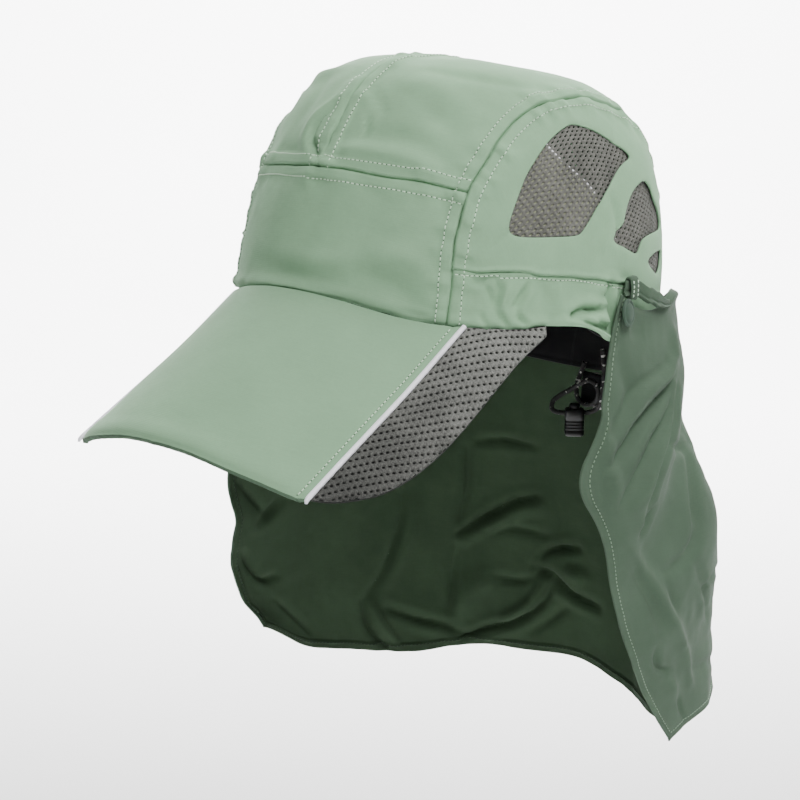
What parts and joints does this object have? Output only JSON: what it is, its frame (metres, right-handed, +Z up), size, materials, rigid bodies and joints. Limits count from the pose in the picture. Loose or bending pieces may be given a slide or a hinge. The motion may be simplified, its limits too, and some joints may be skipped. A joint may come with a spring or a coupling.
{
  "type": "legionnaire cap",
  "caption": "Peaked sun cap of sage green cloth with mesh side windows and peak inserts, and a long neck flap snapped on round the sides and back.",
  "frame": {"origin": "centre of the head opening, where the cap sits on a head", "axes": "+Z up out of the crown, the peak points to -Y, +X is the wearer's left"},
  "size_m": [0.2186, 0.31, 0.3294],
  "materials": {
    "crown_cloth": "matt plain-woven sage green cloth",
    "brim_cloth": "matt plain-woven sage green cloth",
    "flap_cloth": "matt plain-woven sage green cloth, thinner",
    "side_mesh": "open knitted grey mesh",
    "brim_mesh": "knitted grey spacer mesh",
    "piping": "smooth pale piping",
    "sweatband": "matt black tape",
    "snap": "satin dark green",
    "cord": "braided black elastic with pale flecks",
    "lock": "satin black",
    "webbing": "matt black webbing",
    "tag": "smooth white tape, blank"
  },
  "bodies": {
    "root": {"crown_front_panel": "crown_cloth", "crown_top_left": "crown_cloth", "crown_top_right": "crown_cloth", "crown_side_left": "crown_cloth", "crown_side_right": "crown_cloth", "side_mesh_left": "side_mesh", "side_mesh_right": "side_mesh", "side_band": "crown_cloth", "sweatband": "sweatband", "brim": "brim_cloth", "brim_mesh_left": "brim_mesh", "brim_mesh_right": "brim_mesh", "piping_left": "piping", "piping_right": "piping", "neck_flap": "flap_cloth", "flap_strip_left": "flap_cloth", "loop_tab_left": "crown_cloth", "snap_left": "snap", "flap_strip_right": "flap_cloth", "loop_tab_right": "crown_cloth", "snap_right": "snap", "drawcord": "cord", "cord_lock": "lock", "adjuster_tab": "webbing", "care_tag": "tag"}
  },
  "joints": []
}
